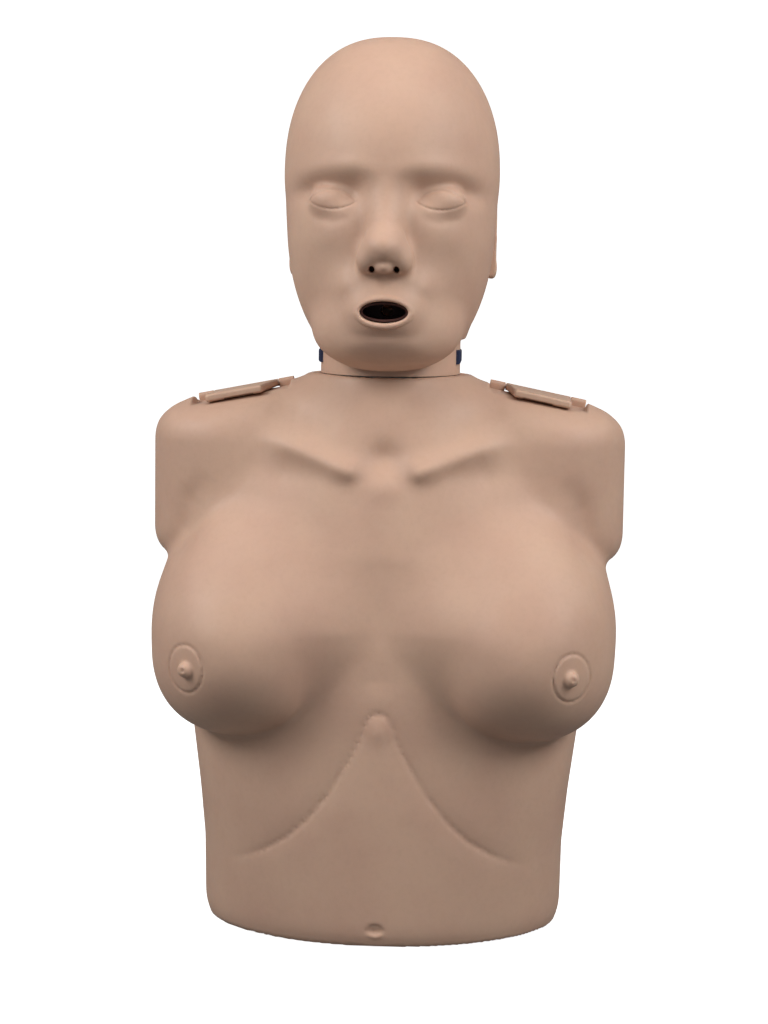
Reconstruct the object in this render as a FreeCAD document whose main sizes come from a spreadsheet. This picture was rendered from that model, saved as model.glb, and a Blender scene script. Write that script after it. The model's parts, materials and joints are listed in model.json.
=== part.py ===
import FreeCAD, Part
import os

# Training manikin for chest compressions and rescue breaths: a life-size head and torso.
#
# The torso stands on its waist. Its back shell carries the works: a sprung plunger under a chest plate, a
# lung bag on the plate, and a socket for the neck. The chest skin lifts off to the front once the two latches
# over the shoulders are swung up. The neck turns in its socket, and the head tilts back on two stub pins.
#
# Frame: millimetres, +X to the manikin's left, +Y to its back, +Z up. The origin is on the floor, under the
# middle of the torso.

doc = FreeCAD.newDocument("manikin")
V = FreeCAD.Vector
Rot = FreeCAD.Rotation

ALONG_X = Rot(V(0, 1, 0), 90)
ALONG_Y = Rot(V(1, 0, 0), -90)
ALONG_MINUS_Y = Rot(V(1, 0, 0), 90)

# ---------------------------------------------------------------- driving dimensions
DIMENSIONS = {
    # "far" reaches past everything; "over" is how far one shape is carried into or past the next
    "wall": 3, "part_y": 30, "seam": 0.6, "neck_y": 20, "far": 400, "over": 1, "rim_lift": 0.5,
    # shoulders and breasts: centre, then half axes
    "deltoid_x": 125, "deltoid_y": 18, "deltoid_z": 323,
    "deltoid_rx": 49.5, "deltoid_ry": 51, "deltoid_rz": 70,
    "breast_x": 100.5, "breast_y": -30, "breast_z": 212, "breast_rx": 68, "breast_ry": 76, "breast_rz": 67,
    "nipple_x": 135.5, "nipple_y": -93, "nipple_z": 203, "nipple_rad": 5.3,
    # floor plate
    "floor_thick": 4, "rebate_a": 129, "rebate_b": 90, "rebate_gap": 3, "trunk_y": 13,
    # shoulder latches, measured in a frame that leans with the shoulder
    "latch_x": 109, "latch_z": 390.4, "latch_lean": 11.3, "latch_half": 24.5, "latch_front": -14,
    "latch_thick": 5.6, "latch_round": 2, "latch_taper": 6.5, "pin_y": 44, "pin_z": 2.8, "pin_rad": 1.8,
    "pin_fit": 0.06,
    "seat_half": 36.5, "seat_back": 52, "seat_front": -64, "seat_gap": 0.5, "seat_depth": 4, "seat_rim": 3,
    "seat_lip": 12, "lug_half": 5, "lug_high": 6.4, "lug_gap": 0.4, "keeper_y": 6, "keeper_rad": 7,
    "keeper_thick": 2, "finger_rise": 1.2, "finger_wide": 22,
    # neck
    "neck_rad": 51.5, "neck_wall": 4, "neck_low": 408, "neck_high": 436, "spigot_rad": 43.5, "spigot_wall": 3,
    "spigot_low": 375, "socket_rad": 47, "socket_low": 380, "socket_high": 407.6, "turn_fit": 0.06,
    "shelf_thick": 4, "opening_rad": 49, "ring_thick": 4, "ring_gap": 0.4, "bracket_half": 22,
    "bracket_high": 396, "bracket_gap": 1.5,
    # head tilt
    "tilt_z": 421, "tilt_rad": 3, "tilt_fit": 0.06, "block_in": 45, "block_out": 52.3, "block_half_y": 16.5,
    "block_half_z": 5.2, "arm_in": 36, "arm_out": 42, "arm_half": 8, "bar_low": 449, "bar_high": 455,
    "bar_half": 62, "pin_sunk": 0.6, "pin_inside": 2,
    # head: centre, then half axes
    "head_wall": 3, "head_y": 14, "head_z": 560, "head_rx": 77.7, "head_ry": 92, "head_rz": 90,
    "jaw_y": -12, "jaw_z": 500, "jaw_rx": 71, "jaw_ry": 66, "jaw_rz": 87, "chin_y": -36, "chin_z": 449.5,
    "chin_rx": 42, "chin_ry": 47, "chin_rz": 36.5, "skirt_rad": 56.4, "skirt_in": 53,
    "skirt_low": 432, "skirt_high": 512, "skirt_flare": 11, "nape_low": 439, "swing_rad": 54.5,
    "head_part": 28, "head_seam": 0.4,
    "ear_x": 70, "ear_y": 38, "ear_z": 512, "ear_rx": 9.5, "ear_ry": 15, "ear_rz": 34,
    "nose_y": -72, "nose_z": 512, "nose_rx": 11, "nose_ry": 33, "nose_rz": 30, "wing_x": 13, "wing_z": 491,
    "wing_y": -82, "wing_rad": 8.5, "nostril_x": 8.5, "nostril_y": -92, "nostril_rad": 1.5,
    "nostril_low": 478, "nostril_high": 488,
    # mouth
    "mouth_z": 455.6, "mouth_a": 17, "mouth_b": 7, "oral_front": -79, "oral_back": -44, "oral_wall": 1.5,
    "oral_gap": 0.3, "airway_rad": 6, "airway_bore": 4.4, "airway_back": -28,
    # head joining screws
    "head_boss_low_x": 57.5, "head_boss_low": 487, "head_boss_high_x": 63, "head_boss_high": 592,
    "head_boss_rad": 5.5, "post_long": 14, "sink_depth": 5,
    # compression works
    "plunger_z": 215, "plunger_rad": 33.5, "plunger_wall": 3, "plunger_front": -44, "plunger_back": 38,
    "plate_thick": 4, "plate_half": 58, "plate_low": 142, "plate_high": 270, "plate_round": 18,
    "rib_thick": 3, "rib_deep": 8, "rib_in": 13, "plunger_floor": 2.5, "plunger_screw_x": 28.5,
    "guide_fit": 0.4, "guide_wall": 4, "guide_front": 10, "flange_front": 90,
    "flange_thick": 4, "flange_rad": 58, "web_front": 30, "web_off": 52, "peg_long": 7, "peg_rad": 20,
    "boss_off": 36, "boss_rad": 8, "bore_rad": 4.6, "seat_y": 99,
    "spring_rad": 23, "spring_wire": 2, "spring_front": -41.5, "spring_back": 90, "spring_turns": 9,
    "bag_half": 52, "bag_low": 148, "bag_high": 264, "bag_thick": 9, "bag_round": 4, "bag_gap": 3,
    "pad_gap": 0.6, "pad_half": 30, "pad_low": 168, "pad_high": 248,
    # screws
    "screw_head": 3.4, "screw_shank": 1.6, "screw_long": 9,
}

# Level sections of the trunk: height, half width, half depth, and how far back the middle is.
TRUNK = [(0, 130, 91, 13), (10, 133, 93.5, 13), (80, 135.5, 92, 11.5), (150, 145, 92, 14), (215, 150, 92, 15),
         (280, 152, 88.5, 18), (330, 142, 79, 21), (360, 112, 67, 22), (385, 80, 58, 21), (406, 55, 52.5, 20)]

# Upright sections of the yoke, from the middle outwards: distance out, height of the top, half depth.
YOKE = [(0, 405, 60), (55, 404, 60), (100, 399, 56), (135, 390, 49), (156, 380, 39)]
YOKE_BOTTOM = 280

for i, row in enumerate(TRUNK):
    for word, number in zip(("high", "wide", "deep", "mid"), row):
        DIMENSIONS[f"trunk{i}_{word}"] = number
for i, row in enumerate(YOKE):
    for word, number in zip(("out", "top", "deep"), row):
        DIMENSIONS[f"yoke{i}_{word}"] = number
DIMENSIONS["yoke_bottom"] = YOKE_BOTTOM

sheet = doc.addObject("Spreadsheet::Sheet", "dims")
for row, (alias, value) in enumerate(DIMENSIONS.items(), start=1):
    sheet.set(f"A{row}", alias)
    sheet.set(f"B{row}", str(value))
    sheet.setAlias(f"B{row}", alias)
doc.recompute()


# ---------------------------------------------------------------- formulas
def on_sheet(formula):
    """The formula with the sheet's name put before each of the sheet's words."""
    text = str(formula)
    out = ""
    word = ""
    for letter in text + " ":
        if letter.isalnum() or letter == "_":
            word += letter
            continue
        out += "dims." + word if word in DIMENSIONS else word
        out += letter
        word = ""
    return out.strip()


def bind(obj, **formulas):
    """Binds properties of obj to formulas; a double underscore stands for a dot."""
    for prop, formula in formulas.items():
        obj.setExpression(prop.replace("__", "."), on_sheet(formula))
    return obj


def place(obj, x=0, y=0, z=0, turn=None):
    """Turns obj and puts its origin at three formulas."""
    if turn is not None:
        obj.Placement = FreeCAD.Placement(V(0, 0, 0), turn)
    return bind(obj, Placement__Base__x=x, Placement__Base__y=y, Placement__Base__z=z)


def lean(obj):
    """Puts obj, drawn level about the latch, where the manikin's left shoulder slopes."""
    obj.Placement = FreeCAD.Placement(V(0, 0, 0), Rot(V(0, 1, 0), 1))
    return bind(obj, Placement__Rotation__Angle="latch_lean", Placement__Base__x="latch_x",
                Placement__Base__z="latch_z")


# ---------------------------------------------------------------- makers
def box(name, x0, x1, y0, y1, z0, z1):
    """A box between two corners."""
    obj = place(doc.addObject("Part::Box", name), x0, y0, z0)
    return bind(obj, Length=f"({x1}) - ({x0})", Width=f"({y1}) - ({y0})", Height=f"({z1}) - ({z0})")


def cylinder(name, radius, length, x=0, y=0, z=0, turn=None):
    """A cylinder from (x, y, z), along +Z or as turned."""
    obj = place(doc.addObject("Part::Cylinder", name), x, y, z, turn)
    return bind(obj, Radius=radius, Height=length)


def ellipsoid(name, rx, ry, rz, x=0, y=0, z=0):
    """An ellipsoid with half axes rx, ry and rz about (x, y, z), its seam at the back."""
    obj = place(doc.addObject("Part::Ellipsoid", name), x, y, z, Rot(V(0, 0, 1), 90))
    return bind(obj, Radius1=rz, Radius2=ry, Radius3=rx)


def ellipse(name, major, minor, x=0, y=0, z=0, turn=None):
    """An ellipse, level or as turned."""
    obj = place(doc.addObject("Part::Ellipse", name), x, y, z, turn)
    return bind(obj, MajorRadius=major, MinorRadius=minor)


def loft(name, rings):
    """A smooth solid through the rings."""
    obj = doc.addObject("Part::Loft", name)
    obj.Sections = rings
    obj.Solid = True
    return obj


def extrusion(name, outline, direction, length):
    """The closed outline pushed along direction."""
    obj = doc.addObject("Part::Extrusion", name)
    obj.Base = outline
    obj.DirMode = "Custom"
    obj.Dir = direction
    obj.Solid = True
    return bind(obj, LengthFwd=length)


def fuse(name, *shapes):
    """The shapes as one."""
    obj = doc.addObject("Part::MultiFuse", name)
    obj.Refine = False
    obj.Shapes = list(shapes)
    return obj


def common(name, *shapes):
    """What the shapes share."""
    obj = doc.addObject("Part::MultiCommon", name)
    obj.Refine = False
    obj.Shapes = list(shapes)
    return obj


def group(name, *shapes):
    """The shapes side by side, as one object that can be placed."""
    obj = doc.addObject("Part::Compound", name)
    obj.Links = list(shapes)
    return obj


def cut(name, base, *tools):
    """base less the tools."""
    obj = doc.addObject("Part::Cut", name)
    obj.Refine = False
    obj.Base = base
    obj.Tool = tools[0] if len(tools) == 1 else fuse(name + "_tools", *tools)
    return obj


def mirror(name, source):
    """source seen in the plane that halves the manikin."""
    obj = doc.addObject("Part::Mirroring", name)
    obj.Source = source
    obj.Normal = V(1, 0, 0)
    return obj


def tube(name, outer, inner, length, x=0, y=0, z=0, turn=None):
    """A round tube."""
    body = cylinder(name + "_outside", outer, length, x, y, z, turn)
    bore = cylinder(name + "_bore", inner, length, x, y, z, turn)
    return cut(name, body, bore)


def rounded(name, base, radius, edges):
    """base with the numbered edges rounded."""
    doc.recompute()
    obj = doc.addObject("Part::Fillet", name)
    obj.Base = base
    size = float(getattr(sheet, radius))
    obj.Edges = [(edge, size, size) for edge in edges]
    return obj


def edges_along(obj, direction):
    """Numbers of the straight edges of obj that lie along direction."""
    doc.recompute()
    found = []
    for number, edge in enumerate(obj.Shape.Edges, start=1):
        if edge.Curve.TypeId == "Part::GeomLine" and abs(abs(edge.Curve.Direction.dot(direction)) - 1) < 1e-6:
            found.append(number)
    return found


def screw(name, x, y, z, turn):
    """A pan-head screw with a cross slot: its head's flat side is at (x, y, z), and its shank runs on."""
    dome = bind(doc.addObject("Part::Sphere", name + "_dome"), Radius="screw_head")
    half = box(name + "_half", "-2 * screw_head", "2 * screw_head", "-2 * screw_head", "2 * screw_head",
               "-0.75 * screw_head", "0")
    slots = [box(name + "_slot" + way, f"-{a}", a, f"-{b}", b, "-screw_head", "-0.45 * screw_head")
             for way, a, b in (("a", "0.6 * screw_head", "0.13 * screw_head"),
                               ("b", "0.13 * screw_head", "0.6 * screw_head"))]
    head = cut(name + "_head", common(name + "_cap", dome, half), *slots)
    shank = cylinder(name + "_shank", "screw_shank", "screw_long")
    return place(fuse(name, head, shank), x, y, z, turn)


def drill(name, x, y, z, turn):
    """The hole that a screw's shank needs."""
    return cylinder(name, "screw_shank", "screw_long", x, y, z, turn)


parts = []


def finish(obj, label):
    """Names obj as a finished sub-part."""
    obj.Label = label
    parts.append(obj)
    return obj


# ---------------------------------------------------------------- torso
def torso_solid(name, inset, lowest, top_inset):
    """The torso's whole form, drawn in by inset."""
    rings = []
    for i in range(len(TRUNK)):
        high = f"trunk{i}_high"
        if i == 0:
            high = lowest
        if i == len(TRUNK) - 1:
            high = f"trunk{i}_high - {top_inset}"
        rings.append(ellipse(f"{name}_level{i}", f"trunk{i}_wide - {inset}", f"trunk{i}_deep - {inset}",
                             0, f"trunk{i}_mid", high))
    trunk = loft(name + "_trunk", rings)
    spans = []
    for side in range(1 - len(YOKE), len(YOKE)):
        i = abs(side)
        sign = "-" if side < 0 else ""
        middle = f"(yoke{i}_top + yoke_bottom) / 2"
        half = f"(yoke{i}_top - yoke_bottom) / 2 - {inset}"
        spans.append(ellipse(f"{name}_span{side + len(YOKE)}", half, f"yoke{i}_deep - {inset}",
                             f"{sign}(yoke{i}_out)", "deltoid_y", middle, Rot(V(0, 1, 0), 90)))
    yoke = loft(name + "_yoke", spans)
    masses = []
    for side, sign in (("left", ""), ("right", "-")):
        masses.append(ellipsoid(f"{name}_deltoid_{side}", f"deltoid_rx - {inset}", f"deltoid_ry - {inset}",
                                f"deltoid_rz - {inset}", f"{sign}deltoid_x", "deltoid_y", "deltoid_z"))
        masses.append(ellipsoid(f"{name}_breast_{side}", f"breast_rx - {inset}", f"breast_ry - {inset}",
                                f"breast_rz - {inset}", f"{sign}breast_x", "breast_y", "breast_z"))
    return fuse(name, trunk, yoke, *masses)


def shoulder_tools():
    """For each shoulder: the thick seat kept inside the wall, the recess over it, and the latch's lugs."""
    seat = lean(group("seat_left", box("seat_level", "-seat_half - seat_rim", "seat_half + seat_rim",
                                       "latch_front - seat_lip", "seat_back + seat_rim",
                                       "-seat_gap - seat_depth", "far")))
    recess = lean(group("recess_left", box("recess_level", "-seat_half", "seat_half", "seat_front", "seat_back",
                                           "-seat_gap", "far")))
    lug_boxes = [box(f"lug_level{i}", x0, x1, "pin_y - lug_half", "seat_back", "-seat_depth / 4", "lug_high")
                 for i, (x0, x1) in enumerate((("latch_half + lug_gap", "seat_half"),
                                               ("-seat_half", "-latch_half - lug_gap")))]
    lugs = lean(group("lugs_left", *lug_boxes))
    pocket = lean(group("pocket_left", cylinder("pocket_level", "keeper_rad", "keeper_thick", 0, "keeper_y",
                                                "-seat_gap - keeper_thick")))
    return seat, recess, lugs, pocket


def torso_shells():
    """The back shell and the chest skin: one hollow form, halved."""
    outer = torso_solid("outer", "0", "trunk0_high", "0")
    inner = torso_solid("inner", "wall", "-1", "wall")
    nipples = [ellipsoid(f"nipple_{side}", "nipple_rad", "nipple_rad", "nipple_rad", f"{sign}nipple_x",
                         "nipple_y", "nipple_z") for side, sign in (("left", ""), ("right", "-"))]
    seat, recess, lugs, pocket = shoulder_tools()
    hollow = cut("hollow", inner, seat, mirror("seat_right", seat))
    neck_hole = cylinder("neck_hole", "opening_rad", "far", 0, "neck_y", "socket_low - opening_rad")
    shell = cut("shell", outer, hollow, recess, mirror("recess_right", recess), neck_hole)

    # the back shell, with the latch lugs and the bosses that the works screw to
    behind = box("behind", "-far", "far", "part_y + seam / 2", "far", "-1", "far * 2")
    bosses, bores = [], []
    for i, (x, z) in enumerate(boss_places()):
        column = cylinder(f"boss{i}", "boss_rad", "far / 8", x, "flange_front + flange_thick", z, ALONG_Y)
        bosses.append(common(f"boss{i}_trim", column, outer))
        bores.append(cylinder(f"bore{i}", "bore_rad", "far / 8", x, "seat_y", z, ALONG_Y))
        bores.append(drill(f"bore{i}_hole", x, "seat_y", z, ALONG_MINUS_Y))
    half = common("back_half", shell, behind)
    pin_hole = lean(group("pin_hole_left", cylinder("pin_hole_level", "pin_rad", "2 * seat_half", "-seat_half",
                                                    "pin_y", "pin_z", ALONG_X)))
    whole = fuse("back_whole", half, lugs, mirror("lugs_right", lugs), *bosses)
    finish(cut("back", whole, pin_hole, mirror("pin_hole_right", pin_hole), *bores), "back_shell")

    # the chest skin, rebated at the bottom so that it passes the floor plate
    front = box("in_front", "-far", "far", "-far", "part_y - seam / 2", "rim_lift", "far * 2")
    rebate = extrusion("rebate", ellipse("rebate_rim", "rebate_a", "rebate_b", 0, "trunk_y", "-over"), V(0, 0, 1),
                       "floor_thick + 2 * over")
    lower = box("rebate_half", "-far", "far", "-far", "far", "-over", "floor_thick + over")
    skin = fuse("front_form", common("front_half", shell, front), *nipples)
    inside = cut("front_hollow", skin, hollow)
    finish(cut("skin", inside, common("rebate_trim", rebate, lower), pocket, mirror("pocket_right", pocket)),
           "torso_skin")

    # the floor plate is let into the back shell and stands free of the skin
    slab = box("slab", "-far", "far", "part_y + seam / 2", "far", "0", "floor_thick")
    plate_rim = extrusion("plate_rim", ellipse("plate_rim_line", "rebate_a - rebate_gap",
                                               "rebate_b - rebate_gap", 0, "trunk_y", 0),
                          V(0, 0, 1), "floor_thick")
    finish(fuse("floor_plate", common("floor_back", slab, hollow), plate_rim), "base_floor")


def boss_places():
    """Where the guide's four screws are, as (x, z) formulas."""
    return [(f"{a}boss_off", f"plunger_z {b} boss_off") for a in ("", "-") for b in ("+", "-")]


# ---------------------------------------------------------------- latches
def latches():
    """Each latch is a tongue on a barrel; it turns on a pin and lies over a keeper in the skin's seat."""
    tongue = bind(doc.addObject("Part::Wedge", "tongue"), Xmin="latch_taper - latch_half", Xmax="latch_half",
                  Ymin="latch_front", Ymax="pin_y", Zmin="0", Zmax="latch_thick", X2min="-latch_half",
                  X2max="latch_half", Z2min="0", Z2max="latch_thick")
    doc.recompute()
    hinge_line = float(sheet.pin_y)
    open_edges = [number for number, edge in enumerate(tongue.Shape.Edges, start=1)
                  if edge.BoundBox.YMin < hinge_line - 1]
    barrel = cylinder("tongue_barrel", "latch_thick / 2", "2 * latch_half", "-latch_half", "pin_y", "pin_z",
                      ALONG_X)
    soft = fuse("tongue_form", rounded("tongue_soft", tongue, "latch_round", open_edges), barrel)
    bore = cylinder("tongue_bore", "pin_rad + pin_fit", "far", "-far / 2", "pin_y", "pin_z", ALONG_X)
    finger = cylinder("tongue_finger", "latch_thick", "finger_wide", "-finger_wide / 2", "latch_front + over",
                      "finger_rise - latch_thick", ALONG_X)
    left = lean(cut("latch_l", soft, bore, finger))
    finish(left, "latch_left")
    finish(mirror("latch_r", left), "latch_right")

    pin = lean(group("pin_l", cylinder("pin_level", "pin_rad", "2 * seat_half", "-seat_half", "pin_y", "pin_z",
                                       ALONG_X)))
    finish(pin, "latch_pin_left")
    finish(mirror("pin_r", pin), "latch_pin_right")

    disc = cylinder("keeper_disc", "keeper_rad", "keeper_thick", 0, "keeper_y", "-seat_gap - keeper_thick")
    dimple = cylinder("keeper_dimple", "screw_shank", "keeper_thick", 0, "keeper_y",
                      "-seat_gap - keeper_thick / 2")
    keeper = lean(cut("keeper_l", disc, dimple))
    finish(keeper, "latch_keeper_left")
    finish(mirror("keeper_r", keeper), "latch_keeper_right")


# ---------------------------------------------------------------- neck
def neck():
    """The socket on the back shell, and the neck that turns in it."""
    cup = tube("socket_tube", "socket_rad", "spigot_rad + turn_fit", "socket_high - socket_low", 0, "neck_y",
               "socket_low")
    arm = box("socket_arm", "-bracket_half", "bracket_half", "neck_y + spigot_rad + bracket_gap", "far / 4",
              "socket_low", "bracket_high")
    inner = doc.getObject("hollow")
    finish(fuse("socket", cup, common("socket_arm_trim", arm, inner)), "neck_socket")

    skirt = tube("neck_skirt", "neck_rad", "neck_rad - neck_wall", "neck_high - neck_low", 0, "neck_y",
                 "neck_low")
    spigot = tube("neck_spigot", "spigot_rad", "spigot_rad - spigot_wall",
                  "neck_low + shelf_thick - spigot_low", 0, "neck_y", "spigot_low")
    shelf = tube("neck_shelf", "neck_rad", "spigot_rad - spigot_wall", "shelf_thick", 0, "neck_y", "neck_low")
    windows = [box(f"window_{side}", *sorted_span(sign, "block_in", "block_out + over"), "neck_y - block_half_y",
                   "neck_y + block_half_y", "tilt_z - block_half_z", "tilt_z + block_half_z")
               for side, sign in (("left", ""), ("right", "-"))]
    finish(cut("neck_piece", fuse("neck_form", skirt, spigot, shelf), *windows), "neck_tube")
    ring = tube("snap_ring", "socket_rad", "spigot_rad + turn_fit", "ring_thick", 0, "neck_y",
                "socket_low - ring_gap - ring_thick")
    finish(ring, "neck_snap_ring")

    for side, sign in (("left", ""), ("right", "-")):
        block = box(f"block_{side}", *sorted_span(sign, "block_in", "block_out"), "neck_y - block_half_y",
                    "neck_y + block_half_y", "tilt_z - block_half_z", "tilt_z + block_half_z")
        soft = rounded(f"block_{side}_soft", block, "latch_round", outer_edges(block, sign))
        bore = cylinder(f"block_{side}_bore", "tilt_rad + tilt_fit", "far", "-far / 2", "neck_y", "tilt_z",
                        ALONG_X)
        finish(cut(f"block_{side}_piece", soft, bore), f"pivot_block_{side}")


def sorted_span(sign, near, far_end):
    """The two ends along X of something between near and far_end on one side."""
    if sign:
        return f"-({far_end})", f"-({near})"
    return near, far_end


def outer_edges(obj, sign):
    """Numbers of the upright and cross edges of obj on its outer face."""
    doc.recompute()
    reach = obj.Shape.BoundBox.XMin if sign else obj.Shape.BoundBox.XMax
    return [number for number, edge in enumerate(obj.Shape.Edges, start=1)
            if abs(edge.BoundBox.XMin - reach) < 0.01 and abs(edge.BoundBox.XMax - reach) < 0.01]


# ---------------------------------------------------------------- head
def head_solid(name, inset, skirt):
    """The head's whole form, drawn in by inset."""
    cranium = ellipsoid(name + "_cranium", f"head_rx - {inset}", f"head_ry - {inset}", f"head_rz - {inset}",
                        0, "head_y", "head_z")
    jaw = ellipsoid(name + "_jaw", f"jaw_rx - {inset}", f"jaw_ry - {inset}", f"jaw_rz - {inset}", 0, "jaw_y",
                    "jaw_z")
    collar = place(doc.addObject("Part::Cone", name + "_collar"), 0, "neck_y", "skirt_low")
    bind(collar, Radius1=skirt, Radius2=f"{skirt} + skirt_flare", Height="skirt_high - skirt_low")
    chin = ellipsoid(name + "_chin", f"chin_rx - {inset}", f"chin_ry - {inset}", f"chin_rz - {inset}", 0,
                     "chin_y", "chin_z")
    return fuse(name, cranium, jaw, collar, chin)


def ears():
    """The ears, low on the rear shell."""
    return [ellipsoid(f"ear_{side}", "ear_rx", "ear_ry", "ear_rz", f"{sign}ear_x", "ear_y", "ear_z")
            for side, sign in (("left", ""), ("right", "-"))]


def nose():
    """The ridge and the wings of the nose."""
    ridge = ellipsoid("nose_ridge", "nose_rx", "nose_ry", "nose_rz", 0, "nose_y", "nose_z")
    wings = [ellipsoid(f"wing_{side}", "wing_rad", "wing_rad", "wing_rad", f"{sign}wing_x", "wing_y", "wing_z")
             for side, sign in (("left", ""), ("right", "-"))]
    return fuse("nose", ridge, *wings)


def head_shells():
    """The face and the back of the head: one hollow form, halved."""
    skull = head_solid("head_outer", "0", "skirt_rad")
    hollow = head_solid("head_hollow", "head_wall", "skirt_in")
    swing = place(bind(doc.addObject("Part::Sphere", "swing"), Radius="swing_rad"), 0, "neck_y", "tilt_z")
    under = box("under_skirt", "-skirt_rad - seam", "skirt_rad + seam", "neck_y - skirt_in", "far", "0",
                "skirt_low")
    nape = box("under_nape", "-far", "far", "head_part", "far", "0", "nape_low")
    drain = cylinder("collar_way", "skirt_in", "20", 0, "neck_y", "skirt_low - 10")

    front = box("face_side", "-far", "far", "-far", "head_part - head_seam / 2", "0", "far * 2")
    back = box("occiput_side", "-far", "far", "head_part + head_seam / 2", "far", "0", "far * 2")
    mouth_line = ellipse("mouth_line", "mouth_a", "mouth_b", 0, "-far / 2", "mouth_z", ALONG_Y)
    mouth = extrusion("mouth_way", mouth_line, V(0, 1, 0), "far / 2 + oral_back")
    nostrils = [cylinder(f"nostril_{side}", "nostril_rad", "nostril_high - nostril_low", f"{sign}nostril_x",
                         "nostril_y", "nostril_low") for side, sign in (("left", ""), ("right", "-"))]
    face = cut("face_form", fuse("face_full", skull, nose()), hollow, swing, under, drain, mouth, *nostrils)
    rear = cut("rear_form", fuse("rear_full", skull, *ears()), hollow, swing, under, drain, nape)

    posts, sinks, taps = [], [], []
    for i, (x, z) in enumerate(head_boss_places()):
        post = cylinder(f"post{i}", "head_boss_rad", "far", x, "head_part - post_long", z, ALONG_Y)
        posts.append(common(f"post{i}_trim", post, skull))
        sinks.append(cylinder(f"sink{i}", "bore_rad", "far", x, "head_part + sink_depth", z, ALONG_Y))
        taps.append(drill(f"tap{i}", x, "head_part + sink_depth", z, ALONG_MINUS_Y))
    half_face = common("face_half", fuse("face_posted", face, *posts), front)
    half_rear = common("rear_half", fuse("rear_posted", rear, *posts), back)
    finish(cut("face_done", half_face, *taps), "face_shell")
    finish(cut("rear_done", half_rear, *sinks, *taps), "head_back_shell")


def head_boss_places():
    """Where the head's four joining screws are, as (x, z) formulas."""
    return [(f"{a}{z}_x", z) for a in ("", "-") for z in ("head_boss_low", "head_boss_high")]


def mouth_insert():
    """The oral funnel behind the lips, closed at the back but for the airway."""
    cup = extrusion("oral_outside", ellipse("oral_line", "mouth_a - oral_gap", "mouth_b - oral_gap", 0,
                                            "oral_front", "mouth_z", ALONG_Y), V(0, 1, 0),
                    "oral_back - oral_front")
    room = extrusion("oral_room", ellipse("oral_room_line", "mouth_a - oral_gap - oral_wall",
                                          "mouth_b - oral_gap - oral_wall", 0, "oral_front - over",
                                          "mouth_z", ALONG_Y), V(0, 1, 0), "oral_back - oral_front - over")
    pipe = cylinder("airway_pipe", "airway_rad", "airway_back - oral_back + over", 0, "oral_back - over", "mouth_z",
                    ALONG_Y)
    bore = cylinder("airway_hole", "airway_bore", "airway_back - oral_back + 4 * over", 0,
                    "oral_back - 2 * over", "mouth_z", ALONG_Y)
    finish(cut("oral", fuse("oral_form", cup, pipe), room, bore), "mouth_insert")


def head_frame():
    """The bar across the head, with arms down into the neck that carry the two tilt pins."""
    bar = box("bar", "-bar_half", "bar_half", "neck_y - arm_half", "neck_y + arm_half", "bar_low", "bar_high")
    arms = [box(f"arm_{side}", *sorted_span(sign, "arm_in", "arm_out"), "neck_y - arm_half",
                "neck_y + arm_half", "tilt_z - arm_half", "bar_high")
            for side, sign in (("left", ""), ("right", "-"))]
    hole = cylinder("arm_hole", "tilt_rad", "far", "-far / 2", "neck_y", "tilt_z", ALONG_X)
    skull = doc.getObject("head_hollow")
    finish(common("frame_trim", cut("frame_form", fuse("frame_whole", bar, *arms), hole), skull), "head_frame")
    for side, sign in (("left", ""), ("right", "-")):
        low, high = sorted_span(sign, "arm_in - pin_inside", "block_out - pin_sunk")
        pin = cylinder(f"tilt_pin_{side}", "tilt_rad", f"({high}) - ({low})", low, "neck_y", "tilt_z", ALONG_X)
        finish(pin, f"tilt_pin_{side}")


# ---------------------------------------------------------------- compression works
def guide():
    """The guide tube stands on the back shell's bosses; the plunger slides in it."""
    barrel = tube("guide_barrel", "plunger_rad + guide_fit + guide_wall", "plunger_rad + guide_fit",
                  "flange_front - guide_front + over", 0, "guide_front", "plunger_z", ALONG_Y)
    flange = cylinder("guide_flange", "flange_rad", "flange_thick", 0, "flange_front", "plunger_z", ALONG_Y)
    peg = cylinder("guide_peg", "peg_rad", "peg_long + over", 0, "flange_front - peg_long", "plunger_z", ALONG_Y)
    webs = [box("web_up", "-rib_thick / 2", "rib_thick / 2", "web_front", "flange_front + over",
                "plunger_z + plunger_rad + guide_fit + over", "plunger_z + web_off"),
            box("web_down", "-rib_thick / 2", "rib_thick / 2", "web_front", "flange_front + over",
                "plunger_z - web_off", "plunger_z - plunger_rad - guide_fit - over")]
    holes = [drill(f"flange_hole{i}", x, "seat_y", z, ALONG_MINUS_Y) for i, (x, z) in enumerate(boss_places())]
    finish(cut("guide_piece", fuse("guide_form", barrel, flange, peg, *webs), *holes), "plunger_guide")


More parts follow.
